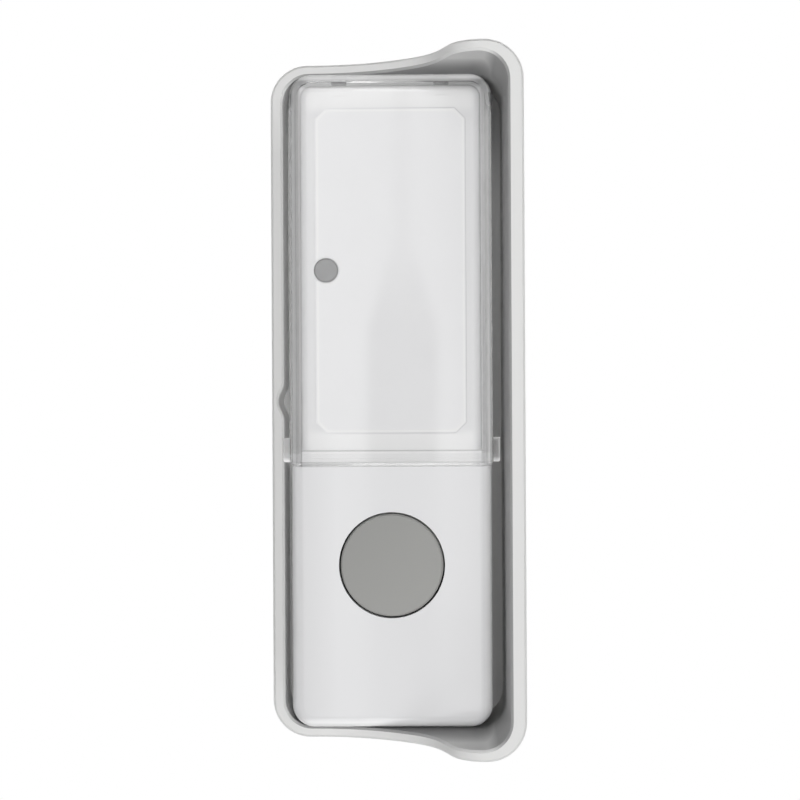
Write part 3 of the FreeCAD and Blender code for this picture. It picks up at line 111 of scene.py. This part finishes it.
def tone(red, green, blue):
    # a colour in screen steps of 0 to 255, turned into the shader's linear one
    def level(share):
        return share / 12.92 if share <= 0.04045 else ((share + 0.055) / 1.055) ** 2.4

    return (level(red / 255), level(green / 255), level(blue / 255), 1.0)


def shaded(colour, change):
    return tuple(min(1.0, part * change) for part in colour[:3]) + (1.0,)


def emptyTree(owner):
    owner.use_nodes = True
    owner.node_tree.nodes.clear()
    return Wire(owner.node_tree)


def newMaterial(name):
    material = bpy.data.materials.new(name)
    start = emptyTree(material)
    place = start.node("TexCoord", out=3)        # object coordinates
    return material, start, place


def finishMaterial(material, surface):
    surface.node("OutputMaterial", None, {"Surface": surface})
    return material


def moulded(name, look, shade=None):
    # injection moulded plastic: cloudy pigment, uneven gloss, and a fine grain or a slight ripple
    material, start, place = newMaterial(name)
    clouds = start.noise(place, look["cloudScale"], detail=3.0)
    darker = shaded(look["colour"], 1 - look["cloud"])
    lighter = shaded(look["colour"], 1 + look["cloud"])
    colour = clouds.blend(darker, lighter)
    # shade paints light and shade into the colour
    if shade:
        colour = shade(place, colour, look)
    gloss = start.noise(place, look["glossScale"], detail=4.0, rough=0.6)
    grain = start.noise(place, look["grainScale"])
    ripple = start.noise(place, look["rippleScale"], detail=1.0)
    surface = start.node("BsdfPrincipled", None, {
        "Base Color": colour,
        "Roughness": gloss.between(*look["roughness"], *noiseSpan),
        "Normal": start.relief(ripple * look["ripple"] + grain * look["grain"]),
        "IOR": 1.5,
    })
    return finishMaterial(material, surface)


def metal(name, look):
    # rolled or drawn metal with fine lines along one direction
    material, start, place = newMaterial(name)
    stretched = start.node("Mapping", None, {"Vector": place, "Scale": look["stretch"]})
    lines = start.noise(stretched, look["lineScale"], detail=4.0, rough=0.65)
    stain = start.noise(place, look["stainScale"], detail=3.0)
    darker, lighter = (shaded(look["colour"], change) for change in look["stain"])
    surface = start.node("BsdfPrincipled", None, {
        "Base Color": stain.blend(darker, lighter),
        "Metallic": 1.0,
        "Roughness": lines.between(*look["roughness"], *noiseSpan),
        "Normal": start.relief(lines * look["depth"]),
    })
    return finishMaterial(material, surface)


def dress(names, material):
    for name in names:
        for slot in nodes[name].material_slots:
            slot.material = material


# wall tray; a pair for X, Z, a depth or a turn is where a change starts and where it ends
traySet = {
    "colour": tone(226, 226, 225),
    "cloud": 0.012, "cloudScale": 22.0,
    "roughness": (0.42, 0.52), "glossScale": 90.0,
    "grain": 0.012, "grainScale": 2600.0,
    "ripple": 0.10, "rippleScale": 45.0,
    # painted shade on the end walls' inner faces, less dark in the corner with the tall wall
    "paintedShade": (0.17, 0.17, 0.173, 1.0),
    "endTurn": (-0.058, -0.020), "endDepth": (0.016, 0.029), "endShare": 0.97,
    "cornerShare": 0.6, "cornerX": (0.0165, 0.0205),
    # painted shade on the tall wall's inner face, up to the end walls
    "tallTurn": (-0.012, -0.004), "tallDepth": (0.006, 0.018), "tallShare": 0.66,
    "tallX": (0.0, 0.012), "tallZ": (0.0656, 0.0658),
    # painted shade on the tray's floor where the thumb notch shows it
    "notchZ": (0.0038, 0.0044), "notchX": (-0.0212, -0.0208), "notchTurn": (-0.9, -0.7),
    "notchDepth": (0.004, 0.006), "notchShare": 0.35,
    # painted shade on the low wall's rim, and painted light in the gap beside it
    "lowRimShadeTone": tone(150, 150, 149), "lowShare": 0.22,
    "lowX": (-0.0225, -0.0210), "lowZ": (0.050, 0.062),
    "gapLightTone": tone(252, 252, 251), "gapX": (-0.0205, -0.0198), "gapDepth": (0.0125, 0.0138),
}


def trayShade(place, colour, look):
    # painted shade: the inner faces of the end walls and of the tall wall are darker below the rim
    facing = place.node("TexCoord", out=1)        # the normal in object space
    across, up = place.part("X"), place.part("Z")
    depth, tall = place.part("Y") * -1.0, up.size()
    inEnd = (facing.part("Z") * up).fall(*look["endTurn"])
    bright = depth.rise(*look["endDepth"])
    corner = across.between(1.0, look["cornerShare"], *look["cornerX"])
    endShade = inEnd * (1 - bright * bright) * look["endShare"] * corner
    inTall = (facing.part("X") * across).fall(*look["tallTurn"])
    reach = across.rise(*look["tallX"]) * tall.fall(*look["tallZ"])
    tallShade = inTall * reach * depth.between(0.0, look["tallShare"], *look["tallDepth"])
    notch = tall.fall(*look["notchZ"]) * facing.part("Y").fall(*look["notchTurn"])
    notch = notch * across.fall(*look["notchX"]) * depth.fall(*look["notchDepth"])
    floorShade = notch * look["notchShare"]
    # painted shade greys the low wall's rim; painted light brightens the gap beside it
    lowRimShade = tall.fall(*look["lowZ"]) * across.between(look["lowShare"], 0.0, *look["lowX"])
    gapLightShare = across.fall(*look["gapX"]) * depth.fall(*look["gapDepth"])
    colour = gapLightShare.blend(lowRimShade.blend(colour, look["lowRimShadeTone"]), look["gapLightTone"])
    return endShade.most(tallShade).most(floorShade).blend(colour, look["paintedShade"])


dress(["wall_tray"], moulded("traySatin", traySet, trayShade))

# casing
casingSet = {
    "colour": tone(232, 232, 233),
    "cloud": 0.008, "cloudScale": 18.0,
    "roughness": (0.045, 0.08), "glossScale": 60.0,
    "grain": 0.0006, "grainScale": 1800.0,
    "ripple": 0.012, "rippleScale": 38.0,
    # painted light on the deck above and below the card, measured from the card's middle
    "deck": tone(244, 244, 244), "deckX": (0.0160, 0.0174), "deckY": (-0.0165, -0.0160),
    "deckMiddle": 0.02615, "deckZ": (0.0315, 0.0332),
    # painted shade on the side towards the low wall, and painted light on the rounded edges on the
    # right and below
    "leftShadeTone": tone(160, 160, 160), "leftShadeShare": 0.24, "leftX": (-0.0200, -0.0110),
    "edgeLightTone": tone(254, 254, 254), "edgeX": (0.0183, 0.0196), "edgeZ": (-0.0652, -0.0635),
}


def casingShade(place, colour, look):
    # painted light makes the deck and the far edges brighter; painted shade makes the side towards
    # the low wall a little greyer
    across, up = place.part("X"), place.part("Z")
    beyond = (up - look["deckMiddle"]).size().rise(*look["deckZ"])
    deckLightShare = across.size().fall(*look["deckX"]) * beyond * place.part("Y").rise(*look["deckY"])
    left = across.between(look["leftShadeShare"], 0.0, *look["leftX"])
    edgeLight = up.fall(*look["edgeZ"]).most(across.rise(*look["edgeX"]))
    colour = left.blend(deckLightShare.blend(colour, look["deck"]), look["leftShadeTone"])
    return edgeLight.blend(colour, look["edgeLightTone"])


dress(["front_casing"], moulded("casingGloss", casingSet, casingShade))

# clear cover
coverSet = {
    "tint": (0.985, 0.985, 0.984, 1.0),
    "ior": 1.49,
    "roughness": (0.01, 0.05), "hazeScale": 140.0, "hazeSpan": (0.35, 0.7),
    "ripple": 0.008, "rippleScale": 60.0,
    "shadow": (0.96, 0.96, 0.96, 1.0),
    # the walls of the clear box are seen end on; painted shade tints them greyer than its front, the
    # left wall more than the right
    "wallX": (0.0179, 0.0185),
    "leftWallShade": (0.66, 0.66, 0.655, 1.0), "rightWallShade": (0.78, 0.78, 0.775, 1.0),
    "topZ": (0.0626, 0.0634), "topWallShade": (0.60, 0.60, 0.60, 1.0),
    # painted shade in the band along its lower end and in the dark lines across it: place and reach
    "bandShade": (0.92, 0.92, 0.92, 1.0), "bandZ": (-0.0104, -0.0107), "bandClear": 0.7,
    "line": (0.74, 0.74, 0.74, 1.0),
    "lines": ((-0.01000, 0.00022), (-0.01236, 0.00022), (-0.01285, 0.00026)),
    # painted light: the ears and their sill glow in place of light that runs inside clear plastic
    # and leaves at its edges, and painted highlights glow along the top edge and the right edge; the
    # two glows of the ears are for the left ear and the right ear
    "earX": (0.02042, 0.02052), "earGlow": (0.13, 0.05), "earMatt": 0.3,
    "frameX": (0.02142, 0.02156), "frameZ": (-0.00772, -0.00758), "frameGlow": (0.03, 0.15),
    "sillZ": (-0.01120, -0.01215), "sillGlow": 0.22,
    "topEdgeZ": (0.0641, 0.0646), "topGlow": 0.16,
    # the painted highlight on the right edge by place and reach, and its fading by two shares and
    # the two heights for them
    "rightEdge": (0.0196, 0.0004), "rightGlow": 0.14, "rightFade": (1.0, 0.35, -0.005, 0.03),
}


# the clear tint, with painted shade on its walls, on its lower band and in the lines across it
def coverTintAndShade(across, up, ear, look):
    side = across.size()
    bandShade = up.rise(*look["bandZ"])
    walls = side.rise(*look["wallX"]) * (1 - bandShade * look["bandClear"])
    wallShade = across.sided(0.0, 1.0).blend(look["leftWallShade"], look["rightWallShade"])
    front = up.rise(*look["topZ"]).blend(bandShade.blend(look["tint"], look["bandShade"]), look["topWallShade"])
    colour = walls.blend(front, wallShade)
    for middle, reach in look["lines"]:
        colour = (up.near(middle, reach) * (1 - ear)).blend(colour, look["line"])
    return colour


# painted light: glow and highlights on the ears, the sill, the top edge and the right edge
def coverGlow(across, up, ear, look):
    frameOfEar = across.size().rise(*look["frameX"]).most(up.rise(*look["frameZ"]))
    earLight = across.sided(*look["earGlow"]) + up.rise(*look["sillZ"]) * look["sillGlow"]
    earLight = earLight + frameOfEar * across.sided(*look["frameGlow"])
    topLight = up.rise(*look["topEdgeZ"]) * look["topGlow"]
    rightLight = across.near(*look["rightEdge"]) * up.between(*look["rightFade"]) * look["rightGlow"]
    glow = ear * earLight + (1 - ear) * (topLight + rightLight)
    return glow.blend((0.0, 0.0, 0.0, 1.0), (1.0, 1.0, 1.0, 1.0))


def clearPlastic(name, look):
    # lamps shine through it, and it bends what lies behind
    material, start, place = newMaterial(name)
    haze = start.noise(place, look["hazeScale"], detail=4.0, rough=0.6)
    ripple = start.noise(place, look["rippleScale"], detail=1.0)
    across, up = place.part("X"), place.part("Z")
    ear = across.size().rise(*look["earX"])
    roughness = haze.between(*look["roughness"], *look["hazeSpan"])
    glass = start.node("BsdfPrincipled", None, {
        "Base Color": coverTintAndShade(across, up, ear, look),
        "Emission Color": coverGlow(across, up, ear, look),
        "Emission Strength": 1.0,
        "Transmission Weight": 1.0,
        "IOR": look["ior"],
        "Roughness": roughness + ear * look["earMatt"],
        "Normal": start.relief(ripple * look["ripple"]),
    })
    through = start.node("BsdfTransparent", None, {"Color": look["shadow"]})
    mixed = glass
    for raySort in (2, 1):        # diffuse rays, then shadow rays
        share = start.node("LightPath", out=raySort)
        mixed = start.node("MixShader", None, {0: share, 1: mixed, 2: through})
    return finishMaterial(material, mixed)


dress(["name_cover"], clearPlastic("coverClear", coverSet))

# name card
cardSet = {
    "colour": tone(241, 241, 242),
    "cloud": 0.012, "cloudScale": 140.0,
    "roughness": (0.55, 0.7), "glossScale": 400.0,
    "grain": 0.02, "grainScale": 1500.0,
    "ripple": 0.05, "rippleScale": 120.0,
    "halfWide": 0.0152, "halfTall": 0.03275, "middle": 0.02615,
    # the corners are cut at 45 degrees: the cut along each side, and the sine of the angle
    "cut": 0.0022, "sine": 0.7071,
    # painted shadow: how far the dark edge reaches in, and its share from the left side to the right
    # side
    "edgeShadeTone": tone(206, 206, 207), "cutReach": (0.00006, 0.00032),
    "cutFade": (0.3, 1.0, -0.014, 0.014),
    # the painted highlight, a paler line: its distance from the edge and its reach
    "paleHighlight": tone(249, 249, 248), "paleReach": (0.00055, 0.0003),
}


def cardEdgeShade(place, colour, look):
    # painted shadow along the cut edge as a thin dark line, fainter on the left, with a painted
    # highlight as a paler line inside it
    across = place.part("X")
    side = across.size()
    end = (place.part("Z") - look["middle"]).size()
    corner = look["halfWide"] + look["halfTall"] - look["cut"]
    fromCorner = (corner - side - end) * look["sine"]
    inward = (look["halfWide"] - side).least(look["halfTall"] - end).least(fromCorner)
    paintedShade = inward.fall(*look["cutReach"]) * across.between(*look["cutFade"])
    paleHighlight = inward.near(*look["paleReach"])
    return paintedShade.blend(paleHighlight.blend(colour, look["paleHighlight"]), look["edgeShadeTone"])


dress(["name_card"], moulded("cardPaper", cardSet, cardEdgeShade))

# lens
lensSet = {
    "colour": tone(139, 139, 140),
    "cloud": 0.03, "cloudScale": 300.0,
    "roughness": (0.2, 0.3), "glossScale": 500.0,
    "grain": 0.004, "grainScale": 3000.0,
    "ripple": 0.05, "rippleScale": 400.0,
}
dress(["indicator_lens"], moulded("lensSmoke", lensSet))

# button
buttonSet = {
    "colour": tone(163, 163, 161),
    "cloud": 0.015, "cloudScale": 60.0,
    "roughness": (0.45, 0.55), "glossScale": 120.0,
    "grain": 0.014, "grainScale": 2800.0,
    "ripple": 0.05, "rippleScale": 90.0,
    "centre": 0.0329, "reach": 0.0145,
    "upperLeftShade": (0.90, 0.90, 0.895, 1.0), "lowerRightLight": (1.02, 1.02, 1.01, 1.0),
}


def buttonShading(place, colour, look):
    # painted shading: slightly darker towards the upper left and lighter towards the lower right
    slope = place.part("X") - place.part("Z") - look["centre"]
    slope = slope.rise(-look["reach"], look["reach"])
    change = slope.blend(look["upperLeftShade"], look["lowerRightLight"])
    made = {"data_type": "RGBA", "blend_type": "MULTIPLY"}
    return colour.node("Mix", made, {"Factor": 1.0, "A": colour, "B": change}, 2)


dress(["push_button"], moulded("buttonSatin", buttonSet, buttonShading))

# rubber ring
sealSet = {
    "colour": (0.012, 0.012, 0.012, 1.0),
    "cloud": 0.2, "cloudScale": 300.0,
    "roughness": (0.7, 0.85), "glossScale": 500.0,
    "grain": 0.02, "grainScale": 4000.0,
    "ripple": 0.0, "rippleScale": 90.0,
}
dress(["button_seal"], moulded("sealRubber", sealSet))

# hidden pieces
blackSet = dict(sealSet, colour=(0.02, 0.02, 0.021, 1.0), roughness=(0.45, 0.6))
innerSet = dict(casingSet, roughness=(0.35, 0.45), grain=0.008)
foamSet = dict(sealSet, colour=(0.12, 0.12, 0.12, 1.0), grain=0.15, grainScale=1500.0)
ceramicSet = dict(lensSet, colour=(0.30, 0.22, 0.14, 1.0), cloud=0.1)
ledSet = dict(lensSet, colour=(0.75, 0.75, 0.72, 1.0), roughness=(0.08, 0.15))
dress(["switch_body", "switch_plunger", "battery_holder", "transmitter_chip", "encoder_chip"],
      moulded("innerBlack", blackSet))
dress(["base_plate"], moulded("innerWhite", innerSet))
dress(["mounting_pads"], moulded("padFoam", foamSet))
dress(["chip_parts"], moulded("partCeramic", ceramicSet))
dress(["indicator_led"], moulded("ledEpoxy", ledSet))

steelSet = {
    "colour": (0.62, 0.62, 0.61, 1.0), "stain": (0.88, 1.06), "stainScale": 180.0,
    "stretch": (1.0, 1.0, 14.0), "lineScale": 260.0, "depth": 0.01, "roughness": (0.22, 0.38),
}
tinnedSet = dict(steelSet, colour=(0.78, 0.70, 0.58, 1.0), stretch=(12.0, 1.0, 1.0))
dress(["battery_cell", "positive_contact", "negative_contact",
       "switch_plate", "crystal", "board_screws"], metal("innerSteel", steelSet))
dress(["antenna_loop"], metal("antennaTinned", tinnedSet))

boardSet = {
    "mask": (0.015, 0.16, 0.06, 1.0),
    "track": (0.03, 0.26, 0.09, 1.0), "trackScale": 260.0,
    "trackEdge": (0.06, 0.10), "trackHeight": 0.03,
    "roughness": (0.25, 0.4), "glossScale": 60.0,
}


def boardMask(name, look):
    # green lacquer over copper tracks
    material, start, place = newMaterial(name)
    cells = start.node("TexVoronoi", {"feature": "DISTANCE_TO_EDGE", "distance": "CHEBYCHEV"},
                       {"Vector": place, "Scale": look["trackScale"]})
    tracks = cells.fall(*look["trackEdge"])
    surface = start.node("BsdfPrincipled", None, {
        "Base Color": tracks.blend(look["mask"], look["track"]),
        "Roughness": start.noise(place, look["glossScale"]).between(*look["roughness"]),
        "Normal": start.relief(tracks * look["trackHeight"]),
    })
    return finishMaterial(material, surface)


dress(["circuit_board"], boardMask("boardGreen", boardSet))
print("materials done")

# floor
floorSet = {
    "half": 2.4, "height": -1.0, "squares": 8,
    "dim": (0.86, 0.86, 0.86, 1.0), "light": (0.9, 0.9, 0.9, 1.0),
    "cloudScale": 3.0, "roughness": 0.8,
}


def makeFloor(look):
    mesh = bpy.data.meshes.new("studioFloor")
    bm = bmesh.new()
    bmesh.ops.create_grid(bm, x_segments=look["squares"], y_segments=look["squares"], size=1.0)
    bmesh.ops.scale(bm, vec=(look["half"], look["half"], 1.0), verts=bm.verts)
    bmesh.ops.translate(bm, vec=(0.0, 0.0, look["height"]), verts=bm.verts)
    bm.to_mesh(mesh)
    bm.free()
    floor = bpy.data.objects.new("studioFloor", mesh)
    scene.collection.objects.link(floor)
    material, start, place = newMaterial("floorPale")
    surface = start.node("BsdfPrincipled", None, {
        "Base Color": start.noise(place, look["cloudScale"]).blend(look["dim"], look["light"]),
        "Roughness": look["roughness"],
    })
    mesh.materials.append(finishMaterial(material, surface))
    # it's seen but throws no light back on the part
    floor.visible_diffuse = floor.visible_glossy = floor.visible_transmission = False


makeFloor(floorSet)

# studio light
lampSet = {
    # name: place, the way it faces, width, height, brightness of its face, what it lights
    "keyRight": ((0.125, -0.752, 0.0), (0, 1, 0), 0.15, 0.48, 5.3, "matt"),
    "keyMiddle": ((0.125, -0.750, 0.0), (0, 1, 0), 0.15, 0.24, 14.0, "matt"),
    "frontPanel": ((-0.025, -0.750, 0.0), (0, 1, 0), 0.15, 0.48, 1.42, "both"),
    "farRight": ((0.40, -0.75, 0.0), (0, 1, 0), 0.40, 0.80, 0.65, "both"),
    "rightSide": ((0.80, -0.33, 0.0), (-1, 0, 0), 0.62, 1.00, 0.25, "both"),
    "leftSide": ((-0.80, -0.33, 0.0), (1, 0, 0), 0.62, 1.00, 0.80, "both"),
    "above": ((0.02, -0.75, 0.40), (0, 1, 0), 0.14, 0.32, 5.6, "both"),
    "underneath": ((0.0, -0.33, -0.80), (0, 0, 1), 0.80, 0.62, 1.6, "both"),
    "stripAbove": ((0.10, -0.75, 0.66), (0, 1, 0), 0.60, 0.08, 7.0, "gloss"),
    "stripBelow": ((0.10, -0.75, -0.62), (0, 1, 0), 0.60, 0.07, 9.0, "gloss"),
    "floorWash": ((0.0, 0.0, -0.55), (0, 0, -1), 6.4, 6.4, 0.78, "both"),
    "backdrop": ((0.0, 0.60, 0.20), (0, -1, 0), 3.0, 2.4, 0.9, "both"),
}
# a dim stretch of the front panel, narrow above and wide below, which shows softly in the cover;
# across and up run from 0 to 1 over the panel, and "lean" brightens two opposite quarters of it
# and dims the other two
dipSet = {
    "middle": 0.593, "narrow": 0.035, "wide": 0.16, "soft": 0.025,
    "tall": (0.60, 0.74), "above": 0.25, "below": 0.70,
    "lean": 1.6, "leanMiddle": 0.5, "leanLevel": 0.45,
}


def makeLamps(lamps):
    for name, (place, facing, width, height, face, lights) in lamps.items():
        data = bpy.data.lights.new(name, "AREA")
        data.shape = "RECTANGLE"
        data.size, data.size_y = width, height
        data.energy = face * math.pi * width * height
        lamp = bpy.data.objects.new(name, data)
        lamp.location = place
        lamp.rotation_mode = "QUATERNION"
        lamp.rotation_quaternion = Vector(facing).to_track_quat("-Z", "Y")
        lamp.visible_glossy = lamp.visible_transmission = lights != "matt"
        lamp.visible_diffuse = lights != "gloss"
        scene.collection.objects.link(lamp)


def dimStretch(data, dip):
    start = emptyTree(data)
    place = start.node("NewGeometry", out=5)        # place on the panel's face
    across, up = place.part("X"), place.part("Y")
    halfWidth = up.between(dip["wide"], dip["narrow"], *dip["tall"])
    depth = up.between(dip["below"], dip["above"], *dip["tall"])
    inside = (halfWidth - (across - dip["middle"]).size()).rise(-dip["soft"], dip["soft"])
    lean = (across - dip["leanMiddle"]) * (dip["leanLevel"] - up) * dip["lean"]
    glow = start.node("Emission", None, {"Strength": 1 - inside * depth + lean})
    glow.node("OutputLight", None, {"Surface": glow})


makeLamps(lampSet)
dimStretch(bpy.data.lights["frontPanel"], dipSet)

worldSet = {"seen": (1.0, 1.0, 1.0, 1.0), "fill": (0.11, 0.11, 0.111, 1.0)}


def makeWorld(look):
    world = bpy.data.worlds.new("studioAir")
    start = emptyTree(world)
    cameraRay = start.node("LightPath", out=0)
    back = start.node("Background", None, {"Color": cameraRay.blend(look["fill"], look["seen"])})
    back.node("OutputWorld", None, {"Surface": back})
    scene.world = world


makeWorld(worldSet)
print("stage and light done")

# camera
cameraSet = {
    "place": (0.00775, -0.3174, 0.00003),
    "aim": (0.00178, -0.0174, 0.00015),
    "lens": 67.5, "sensor": 36.0, "clip": (0.01, 20.0),
    "roll": math.radians(-0.3),
}


def makeCamera(look):
    data = bpy.data.cameras.new("studioCamera")
    data.lens, data.sensor_width = look["lens"], look["sensor"]
    data.clip_start, data.clip_end = look["clip"]
    camera = bpy.data.objects.new("studioCamera", data)
    camera.location = look["place"]
    camera.rotation_mode = "QUATERNION"
    aim = Vector(look["aim"]) - Vector(look["place"])
    roll = Quaternion((0.0, 0.0, 1.0), look["roll"])
    camera.rotation_quaternion = aim.to_track_quat("-Z", "Y") @ roll
    scene.collection.objects.link(camera)
    scene.camera = camera


makeCamera(cameraSet)
